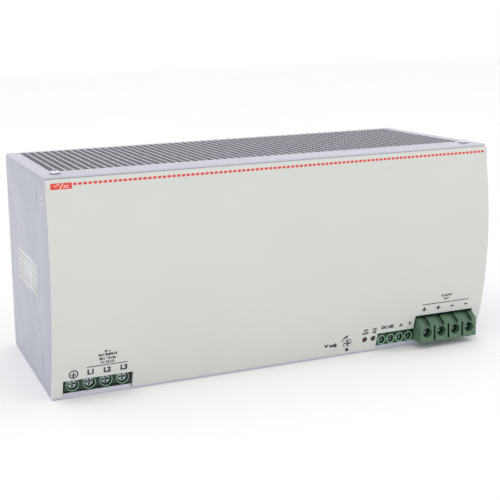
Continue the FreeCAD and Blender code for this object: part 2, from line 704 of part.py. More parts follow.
def ring_winding(x, z, start):
    """One winding, a third of the toroid, wrapped round its section with a small gap."""
    y = y_board_rear + 3
    section = [(5.2, -2.6), (17.6, -2.6), (17.6, 16.6), (5.2, 16.6), (5.2, -2.6)]
    hole = [(7.8, -0.2), (15.2, -0.2), (15.2, 14.2), (7.8, 14.2), (7.8, -0.2)]
    faces = [Part.Face(Part.makePolygon([V(r, y + h, 0) for r, h in loop])) for loop in (section, hole)]
    wrap = faces[0].cut(faces[1]).Faces[0].revolve(V(0, 0, 0), V(0, 1, 0), 96)
    wrap.rotate(V(0, 0, 0), V(0, 1, 0), start)
    wrap.translate(V(x, 0, z))
    return wrap


def transformer_core():
    """Two E halves closed on each other, seen as one rectangular frame with a middle leg."""
    x, z, y = 22.0, 22.0, y_board_rear + 5
    block = box(x - 30, x + 30, y, y + 26, z - 26, z + 26)
    windows = [box(x + a, x + b, y - 1, y + 27, z - 17, z + 17) for a, b in ((-21, -9), (9, 21))]
    return block.cut(windows)


def transformer_winding():
    """Coil former and windings round the core's middle leg."""
    x, z, y = 22.0, 22.0, y_board_rear + 5
    outer = box(x - 20.6, x + 20.6, y - 5, y + 37, z - 16.6, z + 16.6)
    return outer.cut(box(x - 9.3, x + 9.3, y - 0.3, y + 26.3, z - 17, z + 17))


def film_capacitor(x):
    body = box(x - 8, x + 8, y_board_rear, y_board_rear + 24, 20, 50)
    return body.makeFillet(1.5, [e for e in body.Edges if abs(e.CenterOfMass.y - y_board_rear) > 1])


def fuse(x):
    """Cartridge fuse lying along Z behind the board, in two end clips."""
    y, z = y_board_rear + 5.5, z_low + 19
    barrel = rod(3.0, (x, y, z), (0, 0, 1), 25)
    clips = [box(x - 3.6, x + 3.6, y_board_rear, y + 3.6, z + dz, z + dz + 6) for dz in (0, 19)]
    return union([barrel] + clips)


def build():
    save("bent_cover", bent_cover())
    save("top_grille", grille(top_rows, z_high - cover_sheet))
    save("bottom_grille", grille(bottom_rows, z_low))
    save("left_side_plate", side_plate(-1))
    save("right_side_plate", side_plate(1))
    save("front_panel", front_panel())
    save("rating_label", rating_label())
    save("cover_screws", *[(flat_screw if place[2] < z_high else pan_screw)(place, inward, 6, m3)
                           for place, inward in cover_fixings()])
    save("side_screws", *[flat_screw(place, inward, 5, size)
                          for side in (-1, 1) for place, inward, size in side_fixings(side)])
    save("rail_bracket", rail_bracket())
    save("rail_latch", rail_latch())
    save("latch_springs", latch_spring(-1), latch_spring(1))
    save("bracket_screws", *[flat_screw(place, inward, 6, m3) for place, inward in bracket_fixings()])
    for b in BLOCKS:
        save(f"{b.name}_housing", terminal_housing(b))
        save(f"{b.name}_contacts", *[terminal_contact(b, x) for x in b.centres])
        for number, x in enumerate(b.centres, 1):
            save(f"{b.name}_screw_{number}", terminal_screw(b, x))
            save(f"{b.name}_cage_{number}", terminal_cage(b, x))
    save("main_board", main_board())
    save("board_posts", *[board_post(x, z) for x, z in board_fixings()])
    save("board_screws", *[board_screw(x, z) for x, z in board_fixings()])
    save("red_lamp", lamp(lamp_places[0]))
    save("green_lamp", lamp(lamp_places[1]))
    save("trimmer_body", trimmer_body())
    save("trimmer_knob", trimmer_knob())
    save("heat_sinks", heat_sink(-1), heat_sink(1))
    save("power_transistors", *[transistor(side, z) for side in (-1, 1) for z in evenly(0, 24, 3)])
    save("bulk_capacitors", *[standing_can(x, -34, 13, 52) for x in (-44, -14, 16)])
    save("output_capacitors", *[standing_can(x, z, 5, 26) for x in evenly(80, 14, 5) for z in (-24, -10)])
    cores = ((-92.0, 1.0), (-56.0, -2.0))
    save("filter_cores", *[ring_core(x, z) for x, z in cores])
    save("filter_windings", *[ring_winding(x, z, start) for x, z in cores for start in (12, 132, 252)])
    save("transformer_core", transformer_core())
    save("transformer_winding", transformer_winding())
    save("film_capacitors", *[film_capacitor(x) for x in evenly(-70, 19, 4)])
    save("input_fuses", *[fuse(x) for x in evenly(-94, 10, 3)])


os.makedirs("parts", exist_ok=True)
build()
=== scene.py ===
import json
import math

import bmesh
import bpy
import numpy as np
from mathutils import Matrix, Vector


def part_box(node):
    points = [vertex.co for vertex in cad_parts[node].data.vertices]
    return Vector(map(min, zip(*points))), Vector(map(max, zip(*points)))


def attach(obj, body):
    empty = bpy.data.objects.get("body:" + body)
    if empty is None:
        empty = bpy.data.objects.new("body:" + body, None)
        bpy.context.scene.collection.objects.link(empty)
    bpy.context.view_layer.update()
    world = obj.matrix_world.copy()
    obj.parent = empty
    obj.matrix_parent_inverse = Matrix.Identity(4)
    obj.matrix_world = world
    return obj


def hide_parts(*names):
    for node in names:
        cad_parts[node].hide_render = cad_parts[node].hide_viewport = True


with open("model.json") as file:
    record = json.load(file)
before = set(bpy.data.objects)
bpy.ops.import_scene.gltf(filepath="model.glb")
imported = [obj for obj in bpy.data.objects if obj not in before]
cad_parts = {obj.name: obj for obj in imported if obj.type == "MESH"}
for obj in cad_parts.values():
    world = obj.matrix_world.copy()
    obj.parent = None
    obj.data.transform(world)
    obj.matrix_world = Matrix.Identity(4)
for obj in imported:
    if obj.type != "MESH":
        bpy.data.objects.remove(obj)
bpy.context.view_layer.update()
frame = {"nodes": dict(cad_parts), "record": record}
NODES = frame["nodes"]
MM = 0.001


# ------------------------------------------------------------------ sizes, in millimetres
def span(node):
    """Lowest and highest corners of a CAD node, in millimetres."""
    low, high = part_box(node)
    return np.array(low) / MM, np.array(high) / MM


def middle(node):
    """Centre of a CAD node's box, in millimetres."""
    low, high = span(node)
    return (low + high) / 2


cover_low, cover_high = span("bent_cover")
panel_low, panel_high = span("front_panel")
half_width = panel_high[0]
floor_z = cover_low[2]
top_z = panel_high[2]
crown_y = panel_low[1]
crown_z = floor_z + 80.0
band_z = cover_high[2] - 10.5           # foot of the upright band along the top
radius_up, radius_down = 290.0, 215.0   # the bow's arcs above and below the crown
panel_wall = 2.5
panel_return = 8.0                      # the panel's top edge runs back this far
panel_corner = 2.6                      # round between the face and the return
panel_edge = 0.9                        # quarter round at the panel's two ends
side_sheet_room = 1.65                  # side plate and its seam, beside the return


def front_y(z, inset=0.0):
    """Depth of the bowed front: an arc of radius_up above the crown and of radius_down below it,
    upright at the crown, then straight up from band_z. inset moves the face inwards along the radii."""
    z = np.minimum(np.asarray(z, float), band_z)
    radius = np.where(z > crown_z, radius_up, radius_down) - inset
    return crown_y + inset + radius - np.sqrt(radius**2 - (z - crown_z) ** 2)


# ------------------------------------------------------------------ finishes
def linear(r, g, b):
    """Display colour, 0 to 255, as the linear values that shaders take."""
    c = np.array([r, g, b]) / 255.0
    return tuple(np.where(c <= 0.04045, c / 12.92, ((c + 0.055) / 1.055) ** 2.4)) + (1.0,)


COLOUR_A, COLOUR_B, COLOUR_RESULT = 6, 7, 2      # the colour sockets of a mix node


class Finish:
    """A shader graph built up in steps on one Principled surface, with patterns on Object coordinates."""

    def __init__(self, name, colour, roughness, metallic=0.0, **sockets):
        self.material = bpy.data.materials.new(name)
        self.material.use_nodes = True
        self.tree = self.material.node_tree
        self.surface = self.tree.nodes["Principled BSDF"]
        self.colour = linear(*colour)
        self.surface.inputs["Base Color"].default_value = self.colour
        self.surface.inputs["Roughness"].default_value = roughness
        self.surface.inputs["Metallic"].default_value = metallic
        for socket, value in sockets.items():
            self.surface.inputs[socket.replace("_", " ")].default_value = value
        self.roughness = roughness
        self.height = None
        self.colour_out = None
        self.place = self.tree.nodes.new("ShaderNodeTexCoord").outputs["Object"]

    def node(self, kind, **values):
        node = self.tree.nodes.new(kind)
        for key, value in values.items():
            if hasattr(node, key):
                setattr(node, key, value)
            else:
                node.inputs[key.replace("_", " ")].default_value = value
        return node

    def link(self, source, target):
        self.tree.links.new(source, target)

    def noise(self, scale, detail=3.0, stretch=(1, 1, 1), roughness=0.55):
        """Noise with `scale` cells to a metre along each axis, times that axis's stretch."""
        mapping = self.node("ShaderNodeMapping", Scale=Vector(stretch))
        self.link(self.place, mapping.inputs["Vector"])
        noise = self.node("ShaderNodeTexNoise", Scale=scale, Detail=detail, Roughness=roughness)
        self.link(mapping.outputs["Vector"], noise.inputs["Vector"])
        return noise.outputs["Fac"]

    def remap(self, source, low, high, to_low, to_high):
        node = self.node("ShaderNodeMapRange")
        for socket, value in zip(("From Min", "From Max", "To Min", "To Max"), (low, high, to_low, to_high)):
            node.inputs[socket].default_value = value
        self.link(source, node.inputs["Value"])
        return node.outputs["Result"]

    def shade(self, source, colour, low=0.35, high=0.65, most=1.0):
        """Mixes the base colour towards another one where source is high."""
        mix = self.node("ShaderNodeMix", data_type="RGBA")
        self.link(self.remap(source, low, high, 0.0, most), mix.inputs["Factor"])
        a, b = mix.inputs[COLOUR_A], mix.inputs[COLOUR_B]
        if self.colour_out is None:
            a.default_value = self.colour
        else:
            self.link(self.colour_out, a)
        b.default_value = linear(*colour)
        self.colour_out = mix.outputs[COLOUR_RESULT]
        self.link(self.colour_out, self.surface.inputs["Base Color"])
        return self

    def paint_recess_shade(self, reach_mm, colour, most=0.9):
        """Painted shade: mixes towards a dark colour in wells, slits and grooves, where faces stand within
        reach_mm, as ambient occlusion finds them.
        """
        # the occlusion mask below paints shade into recesses
        shut = self.node("ShaderNodeAmbientOcclusion", samples=8, Distance=reach_mm * MM)
        return self.shade(self.remap(shut.outputs["AO"], 0.95, 0.4, 0.0, 1.0), colour, 0.0, 1.0, most)

    def vary(self, source, spread):
        """Roughness wanders by spread either side of its value."""
        self.link(self.remap(source, 0.3, 0.7, self.roughness - spread, self.roughness + spread),
                  self.surface.inputs["Roughness"])
        return self

    def bump(self, source, depth_mm, strength=1.0):
        """Relief of depth_mm; a second call adds its relief to the first."""
        node = self.node("ShaderNodeBump", Strength=strength, Distance=depth_mm * MM)
        if self.height is not None:
            self.link(self.height, node.inputs["Normal"])
        self.link(source, node.inputs["Height"])
        self.height = node.outputs["Normal"]
        self.link(self.height, self.surface.inputs["Normal"])
        return self


def punched_sheet(name, colour, shadow, hole_wall_shade):
    """Coated sheet whose punched edges, the faces that stand upright, are painted darker: painted shade on
    the walls of its holes.
    """
    f = coated_sheet(name, colour, shadow)
    facing = f.node("ShaderNodeSeparateXYZ")
    f.link(f.tree.nodes["Texture Coordinate"].outputs["Normal"], facing.inputs[0])
    upright = f.node("ShaderNodeMath", operation="ABSOLUTE")
    f.link(facing.outputs["Z"], upright.inputs[0])
    # upright faces take the painted shade colour
    return f.shade(f.remap(upright.outputs[0], 0.4, 0.6, 1.0, 0.0), hole_wall_shade, 0.0, 1.0)


def moulded(name, colour, shadow, roughness=0.5, grain=1400, depth=0.02, **sockets):
    """Moulded plastic: a fine spark-eroded grain, cloudy shade and slightly uneven gloss."""
    f = Finish(name, colour, roughness, **sockets)
    f.shade(f.noise(18, 2), shadow, 0.35, 0.75, 0.55)
    f.vary(f.noise(60, 3), 0.05)
    return f.bump(f.noise(grain, 2, roughness=0.7), depth, 0.35)


def plated(name, colour, shadow, roughness=0.3, metallic=1.0, brush=(1, 1, 1), depth=0.01, scale=700):
    """Plated or drawn metal: streaks along one direction and small dull patches."""
    f = Finish(name, colour, roughness, metallic)
    f.shade(f.noise(90, 4), shadow, 0.4, 0.75, 0.6)
    f.vary(f.noise(scale, 3, stretch=brush), 0.09)
    return f.bump(f.noise(scale, 2, stretch=brush), depth, 0.25)


def coated_sheet(name, colour, shadow):
    """Pre-coated steel sheet: nearly matt, with a rolled streak along X, a fine texture and faint marks."""
    f = Finish(name, colour, 0.42, 0.35, Coat_Weight=0.08, Coat_Roughness=0.35)
    f.shade(f.noise(7, 3, stretch=(0.5, 1, 1)), shadow, 0.35, 0.7, 0.5)
    f.vary(f.noise(45, 4, stretch=(0.3, 1.5, 1.5)), 0.07)
    f.bump(f.noise(900, 2, stretch=(0.12, 1, 1)), 0.012, 0.3)
    return f.bump(f.noise(2600, 1), 0.008, 0.25)


# the third colour is painted shade for the walls of the grilles' punched holes
SHEET, SHEET_SHADOW, PUNCHED_WALL_SHADE = (199, 200, 212), (190, 191, 204), (104, 106, 112)

# by node name where a node has its own, otherwise by the record's material slot
FINISHES = {
    "cover_metal": coated_sheet("cover_sheet_silver", SHEET, SHEET_SHADOW),
    "top_grille": punched_sheet("grille_sheet_silver", SHEET, SHEET_SHADOW, PUNCHED_WALL_SHADE),
    "bottom_grille": punched_sheet("grille_sheet_under", SHEET, SHEET_SHADOW, PUNCHED_WALL_SHADE),
    "side_metal": coated_sheet("side_sheet_silver", (178, 180, 192), (171, 173, 186)),
    "front_plastic": moulded("front_panel_light_grey", (205, 207, 203), (200, 202, 198), 0.46,
                             Coat_Weight=0.05, Coat_Roughness=0.3),
    "label_foil": moulded("label_foil_silver", (216, 219, 222), (206, 209, 213), 0.32, 900, 0.006),
    # the screw heads carry painted shade in their cross recesses
    "screw_steel": plated("zinc_screw", (226, 229, 236), (190, 193, 200), 0.24).paint_recess_shade(1.5, (60, 62, 68)),
    "bracket_aluminium": plated("extruded_aluminium", (200, 202, 206), (190, 192, 197), 0.4,
                                brush=(0.04, 1, 1), depth=0.005),
    "latch_steel": plated("zinc_latch", (182, 184, 186), (150, 152, 150), 0.3, brush=(1, 1, 0.06)),
    "spring_steel": plated("spring_wire", (170, 172, 176), (120, 120, 124), 0.25),
    "board_green": moulded("solder_resist_green", (30, 92, 54), (22, 74, 44), 0.3, 500, 0.01,
                           Coat_Weight=0.4),
    "post_brass": plated("brass_post", (206, 176, 106), (168, 138, 80), 0.28),
    "lamp_red": moulded("lamp_red_tinted", (58, 10, 12), (44, 6, 8), 0.3, 300, 0.002, Coat_Weight=0.15),
    "lamp_green": moulded("lamp_green_tinted", (14, 34, 20), (10, 26, 14), 0.3, 300, 0.002, Coat_Weight=0.15),
    "trimmer_blue": moulded("trimmer_body_blue", (44, 84, 160), (34, 66, 130)),
    # the trimmer rotor carries painted shade in its slot and in the gap round it
    "trimmer_grey": moulded("trimmer_rotor_grey", (196, 200, 198), (170, 174, 172), 0.4).paint_recess_shade(
        2.0, (30, 34, 32)),
    "sink_aluminium": plated("heat_sink_aluminium", (186, 188, 192), (160, 162, 168), 0.4,
                             brush=(1, 0.05, 1)),
    "package_black": moulded("component_black", (32, 32, 34), (22, 22, 24), 0.5),
    "can_sleeve": moulded("capacitor_sleeve", (34, 38, 52), (24, 26, 38), 0.24, 300, 0.004, Coat_Weight=0.5),
    "core_green": moulded("ring_core_coating", (54, 96, 66), (40, 76, 52), 0.4),
    "winding_copper": plated("enamelled_copper", (176, 96, 52), (140, 70, 38), 0.24),
    "ferrite": moulded("ferrite", (58, 58, 60), (42, 42, 44), 0.6, 600, 0.03),
    "winding_tape": moulded("polyester_tape", (204, 172, 62), (180, 148, 48), 0.22, 200, 0.01,
                            Coat_Weight=0.4),
    "film_yellow": moulded("film_capacitor_box", (206, 172, 48), (188, 152, 38), 0.35),
    "fuse_glass": moulded("fuse_ceramic", (214, 216, 210), (196, 198, 190), 0.25, 300, 0.004),
    "terminal_green": moulded("terminal_green", (66, 96, 74), (54, 82, 62), 0.4, 1100, 0.02),
    "contact_tin": plated("tinned_contact", (196, 196, 190), (160, 160, 154), 0.3),
    # the terminal screws carry painted shade where they sit deep in their wells
    "terminal_nickel": plated("nickel_screw", (176, 186, 192), (104, 114, 114), 0.2).paint_recess_shade(
        2.5, (20, 28, 26)),
    # the three housings are one green plastic, given three copies that run from painted shade (input) to
    # painted light (output), each with painted shade in its wells, slits and grooves
    "input_housing": moulded("terminal_green_painted_shade", (32, 56, 40), (24, 46, 32), 0.4, 1100, 0.02).paint_recess_shade(
        4.0, (8, 18, 12)),
    "signal_housing": moulded("terminal_green_painted_half_shade", (62, 102, 72), (52, 88, 60), 0.4, 1100, 0.02).paint_recess_shade(
        3.0, (14, 28, 18)),
    "output_housing": moulded("terminal_green_painted_light", (78, 110, 86), (68, 98, 76), 0.4, 1100, 0.02).paint_recess_shade(
        3.0, (10, 26, 16), 1.0),
    "cage_steel": plated("zinc_cage", (176, 178, 176), (136, 138, 136), 0.34),
}
PRINT = {
    "black": moulded("print_black", (22, 23, 24), (30, 31, 32), 0.6, 2000, 0.004).material,
    "grey": moulded("print_grey", (160, 162, 166), (170, 172, 176), 0.5, 2000, 0.004).material,
    "red": moulded("print_red", (216, 66, 50), (206, 58, 44), 0.45, 2000, 0.004).material,
    "white": moulded("print_white", (236, 236, 234), (228, 228, 226), 0.45, 2000, 0.004).material,
    "rim": moulded("terminal_rim_green", (126, 176, 136), (110, 158, 120), 0.4, 1100, 0.01).material,
}


def dress(piece, finish):
    """Gives the piece one finish, a Finish or a ready material, in place of what it had."""
    piece.data.materials.clear()
    piece.data.materials.append(finish.material if isinstance(finish, Finish) else finish)


# ------------------------------------------------------------------ mesh helpers
def mesh_piece(name, points_mm, faces, finish, smooth=35.0):
    """One piece of the case, at the origin, from points in millimetres, shaded smooth up to an angle."""
    mesh = bpy.data.meshes.new(name)
    mesh.from_pydata((np.asarray(points_mm, float) * MM).tolist(), [], [list(f) for f in faces])
    mesh.validate()
    mesh.update()
    piece = bpy.data.objects.new(name, mesh)
    bpy.context.scene.collection.objects.link(piece)
    soften(piece, smooth)
    dress(piece, finish)
    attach(piece, "case")
    return piece


def soften(piece, degrees):
    """Shades the piece smooth, with sharp edges kept where faces turn by more than degrees."""
    mesh = piece.data
    mesh.polygons.foreach_set("use_smooth", np.ones(len(mesh.polygons), bool))
    mesh.set_sharp_from_angle(angle=math.radians(degrees))


def grid_faces(rows, columns, wrap_rows=False, wrap_columns=False):
    """Quads over a grid of points stored row by row, joined end to end where asked."""
    i = np.arange(rows if wrap_rows else rows - 1)[:, None]
    j = np.arange(columns if wrap_columns else columns - 1)[None, :]
    i2, j2 = (i + 1) % rows, (j + 1) % columns
    corners = [i * columns + j, i * columns + j2, i2 * columns + j2, i2 * columns + j]
    return np.stack(corners, -1).reshape(-1, 4).tolist()


def joined(parts):
    """Several (points, faces) put together as one."""
    points, faces, count = [], [], 0
    for p, f in parts:
        points.append(np.asarray(p, float))
        faces += [[int(v) + count for v in face] for face in f]
        count += len(p)
    return np.concatenate(points), faces


def block(x0, x1, y0, y1, z0, z1):
    """Closed box between two corners."""
    p = np.array([(x, y, z) for x in (x0, x1) for y in (y0, y1) for z in (z0, z1)], float)
    return p, [(0, 1, 3, 2), (4, 6, 7, 5), (0, 4, 5, 1), (2, 3, 7, 6), (0, 2, 6, 4), (1, 5, 7, 3)]


def evaluated_mesh(piece):
    """A copy of the piece's mesh with its modifiers worked out."""
    return bpy.data.meshes.new_from_object(piece.evaluated_get(bpy.context.evaluated_depsgraph_get()))


def cut_away(piece, parts):
    """Takes closed shapes out of a closed piece."""
    tools = []
    for number, (points, faces) in enumerate(parts):
        mesh = bpy.data.meshes.new("cutter")
        mesh.from_pydata((points * MM).tolist(), [], [list(map(int, f)) for f in faces])
        tool = bpy.data.objects.new(f"cutter_{number}", mesh)
        bpy.context.scene.collection.objects.link(tool)
        cut = piece.modifiers.new(f"cut_{number}", "BOOLEAN")
        cut.operation, cut.solver, cut.object = "DIFFERENCE", "EXACT", tool
        tools.append(tool)
    bpy.context.view_layer.update()
    piece.data = evaluated_mesh(piece)
    piece.modifiers.clear()
    for tool in tools:
        bpy.data.objects.remove(tool)


def cylinder_along_y(x, z, radius, y0, y1, count=48):
    """Closed cylinder: a circle of `count` points at both ends, capped."""
    a = np.linspace(0, 2 * np.pi, count, endpoint=False)
    ring = np.stack([x + radius * np.cos(a), np.zeros(count), z + radius * np.sin(a)], 1)
    near, far = ring + [0, y0, 0], ring + [0, y1, 0]
    faces = [list(range(count)), list(range(2 * count - 1, count - 1, -1))]
    faces += [[(k + 1) % count, k, count + k, count + (k + 1) % count] for k in range(count)]
    return np.concatenate([near, far]), faces


def ease(node, width_mm):
    """Rounds a CAD node's edges by modifiers only, where they turn by more than 32 degrees, and shades its
    curved faces smoothly."""
    piece = NODES[node]
    weld = piece.modifiers.new("weld", "WELD")
    weld.merge_threshold = 2e-6
    if width_mm:
        bevel = piece.modifiers.new("round", "BEVEL")
        bevel.width, bevel.segments = width_mm * MM, 2
        bevel.limit_method, bevel.angle_limit = "ANGLE", math.radians(32)
        bevel.harden_normals = True
        bevel.miter_outer = "MITER_ARC"
    piece.data.polygons.foreach_set("use_smooth", np.ones(len(piece.data.polygons), bool))


# ------------------------------------------------------------------ front panel
input_low, input_high = span("input_housing")
signal_low, _ = span("signal_housing")
output_low, output_high = span("output_housing")
# left edge, right edge and height of the window for each terminal block
panel_windows = [(input_low[0] - 0.9, input_high[0] + 0.9, 11.5),
                 (signal_low[0] - 0.3, output_low[0] + 1.0, 12.1),
                 (output_low[0] - 0.6, output_high[0] + 0.4, 20.6)]
control_radii = {"red_lamp": 1.5, "green_lamp": 1.5, "trimmer_knob": 2.7}
control_gap = 0.25                      # round each control in its hole


def bowed_front():
    """The plastic front: one thick profile carried along X. The outer line runs up the bow, round the
    top corner and back along the return; the inner one keeps panel_wall behind it. Toward each end the
    outer line draws in by edge * (1 - sin) as x goes in by edge * (1 - cos), a quarter round."""
    edge, corner, inner_corner = panel_edge, panel_corner, 0.4
    y_return, low_z = front_y(top_z) + panel_return, panel_low[2]
    z = np.concatenate([np.linspace(low_z, crown_z, 34)[:-1], np.linspace(crown_z, top_z - corner, 24)])
    turn = np.linspace(0, np.pi / 2, 9)[1:]
    back = np.linspace(0, 1, 4)[1:]

    def outer(inset):
        face = np.stack([front_y(z, inset), z], 1)
        y_top = front_y(top_z, inset)
        r = corner
        round_top = np.stack([y_top + r * (1 - np.cos(turn)), top_z - r + r * np.sin(turn)], 1)
        flat = np.stack([y_top + r + back * (y_return - y_top - r), np.full(len(back), top_z)], 1)
        return np.concatenate([face, round_top, flat])

    r = inner_corner
    z_in = low_z + (z - low_z) * (top_z - panel_wall - r - low_z) / (z[-1] - low_z)
    y_in = front_y(top_z, panel_wall)
    inner_face = np.stack([front_y(z_in, panel_wall), z_in], 1)
    inner_turn = np.stack([y_in + r * (1 - np.cos(turn)), top_z - panel_wall - r + r * np.sin(turn)], 1)
    inner_flat = np.stack([y_in + r + back * (y_return - y_in - r),
                           np.full(len(back), top_z - panel_wall)], 1)
    inner = np.concatenate([inner_face, inner_turn, inner_flat])

    phi = np.linspace(0, np.pi / 2, 5)
    x_end = half_width - edge * (1 - np.cos(phi))[::-1]
    inset_end = edge * (1 - np.sin(phi))[::-1]
    x_between = np.linspace(-half_width + edge, half_width - edge, 24)[1:-1]
    xs = np.concatenate([-x_end[::-1], x_between, x_end])
    insets = np.concatenate([inset_end[::-1], 0 * x_between, inset_end])
    rings = []
    for x, inset in zip(xs, insets):
        loop = np.concatenate([outer(inset), inner[::-1]])
        rings.append(np.column_stack([np.full(len(loop), x), loop]))
    count, steps = len(rings[0]), len(rings)
    points = np.concatenate(rings)
    faces = grid_faces(steps, count, wrap_columns=True)
    half = count // 2
    for ring, turn_over in ((0, False), (steps - 1, True)):
        base = ring * count
        for k in range(half - 1):
            quad = [base + k, base + count - 1 - k, base + count - 2 - k, base + k + 1]
            faces.append(quad[::-1] if turn_over else quad)
    piece = mesh_piece("bowed_front", points, faces, FINISHES["front_plastic"])
    outward(piece)
    before, past = crown_y - 5, crown_y + 30      # the cutters start in front of the panel and end inside
    cutters = [block(x0, x1, before, crown_y + 22, floor_z - 1, floor_z + height)
               for x0, x1, height in panel_windows]
    for node, radius in control_radii.items():
        x, _, zc = middle(node)
        cutters.append(cylinder_along_y(x, zc, radius + control_gap, before, past))
    # the return stays inside the side plates
    for side in (-1, 1):
        x0, x1 = sorted((side * (half_width - side_sheet_room), side * (half_width + 1)))
        cutters.append(block(x0, x1, front_y(top_z) + panel_wall, crown_y + 60,
                             top_z - panel_wall - 1, top_z + 1))
    cut_away(piece, cutters)
    bevel = piece.modifiers.new("round", "BEVEL")
    bevel.width, bevel.segments = 0.25 * MM, 2
    bevel.limit_method, bevel.angle_limit = "ANGLE", math.radians(50)
    bevel.harden_normals = True
    soften(piece, 40)
    dress(piece, FINISHES["front_plastic"])
    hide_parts("front_panel")


def outward(piece):
    """Turns every face of a closed shell outwards."""
    work = bmesh.new()
    work.from_mesh(piece.data)
    bmesh.ops.remove_doubles(work, verts=work.verts, dist=1e-7)
    bmesh.ops.recalc_face_normals(work, faces=work.faces)
    work.to_mesh(piece.data)
    work.free()


# ------------------------------------------------------------------ printed marks
def letters(text, height, weight=0.012, width=None):
    """Flat letters as (points, faces) in millimetres, centred on the origin in their own X and Y. weight
    thickens the strokes, in parts of the letter size; a width, if given, stretches the word to it."""
    curve = bpy.data.curves.new("letters", "FONT")
    curve.body, curve.size, curve.align_x, curve.align_y = text, 1.0, "CENTER", "CENTER"
    curve.offset = weight
    holder = bpy.data.objects.new("letters", curve)
    bpy.context.scene.collection.objects.link(holder)
    bpy.context.view_layer.update()
    mesh = evaluated_mesh(holder)
    points = np.array([v.co for v in mesh.vertices], float).reshape(-1, 3)
    faces = [list(f.vertices) for f in mesh.polygons]
    bpy.data.objects.remove(holder)
    size, centre = np.ptp(points, axis=0), (points.max(0) + points.min(0)) / 2
    scale = height / size[1]
    return (points - centre) * [width / size[0] if width else scale, scale, 0], faces


def strip(x0, x1, y0, y1, nx=1, ny=1):
    """Flat rectangle as a grid."""
    x, y = np.meshgrid(np.linspace(x0, x1, nx + 1), np.linspace(y0, y1, ny + 1))
    return np.stack([x, y, x * 0], -1).reshape(-1, 3), grid_faces(ny + 1, nx + 1)


def pill(cx, cy, width, height, radius, count=4):
    """Flat rounded rectangle: four quarter circles joined."""
    a = np.concatenate([np.linspace(q, q + np.pi / 2, count + 1) for q in (0, np.pi / 2, np.pi, 1.5 * np.pi)])
    sx = np.repeat([1, -1, -1, 1], count + 1) * (width / 2 - radius)
    sy = np.repeat([1, 1, -1, -1], count + 1) * (height / 2 - radius)
    p = np.stack([cx + sx + radius * np.cos(a), cy + sy + radius * np.sin(a), a * 0], 1)
    return p, [list(range(len(p)))]


def band(cx, cy, inner, outer, start=0.0, end=360.0, count=48):
    """Flat ring or arc between two radii; either radius may be a pair, for an arc that widens."""
    t = np.linspace(0, 1, count + 1)
    a = np.radians(start + (end - start) * t)
    r0 = inner[0] + (inner[1] - inner[0]) * t if isinstance(inner, tuple) else inner + 0 * t
    r1 = outer[0] + (outer[1] - outer[0]) * t if isinstance(outer, tuple) else outer + 0 * t
    ring = [np.stack([cx + r * np.cos(a), cy + r * np.sin(a), a * 0], 1) for r in (r0, r1)]
    p = np.concatenate(ring)
    return p, [[k, count + 1 + k, count + 2 + k, k + 1] for k in range(count)]


def disc(cx, cy, radius):
    """Flat disc: the rounded rectangle with nothing left but its corners."""
    return pill(cx, cy, 2 * radius, 2 * radius, radius, 8)


def shifted(part, dx, dy):
    """The same flat part, moved."""
    return part[0] + [dx, dy, 0], part[1]


def printed_on_front(name, parts, ink, proud=0.02):
    """Lays flat parts, drawn in X and height above the floor, onto the bowed front."""
    points, faces = joined(parts)
    x, z = points[:, 0], points[:, 1] + floor_z
    placed = np.stack([x, front_y(z) - proud, z], 1)
    mesh_piece(name, placed, faces, PRINT[ink])


input_x, output_x, signal_x = ([middle(f"{group}_screw_{n}")[0] for n in (1, 2, 3, 4)]
                               for group in ("input", "output", "signal"))


def plus(x, z, size, stroke):
    """Plus sign: one whole bar, and two half bars that meet it."""
    return [strip(x - size / 2, x + size / 2, z - stroke / 2, z + stroke / 2),
            strip(x - stroke / 2, x + stroke / 2, z + stroke / 2, z + size / 2),
            strip(x - stroke / 2, x + stroke / 2, z - size / 2, z - stroke / 2)]


def minus(x, z, size, stroke):
    """Minus sign: one bar."""
    return [strip(x - size / 2, x + size / 2, z - stroke / 2, z + stroke / 2)]


def earth(x, z, radius):
    """Protective earth sign in its ring: a stem and three bars that get shorter."""
    parts = [band(x, z, radius - 0.65, radius), strip(x - 0.32, x + 0.32, z, z + 1.6)]
    for k, half in enumerate((1.5, 1.0, 0.5)):
        low = z - 0.25 - 0.72 * k
        parts.append(strip(x - half, x + half, low - 0.28, low + 0.28))
    return parts


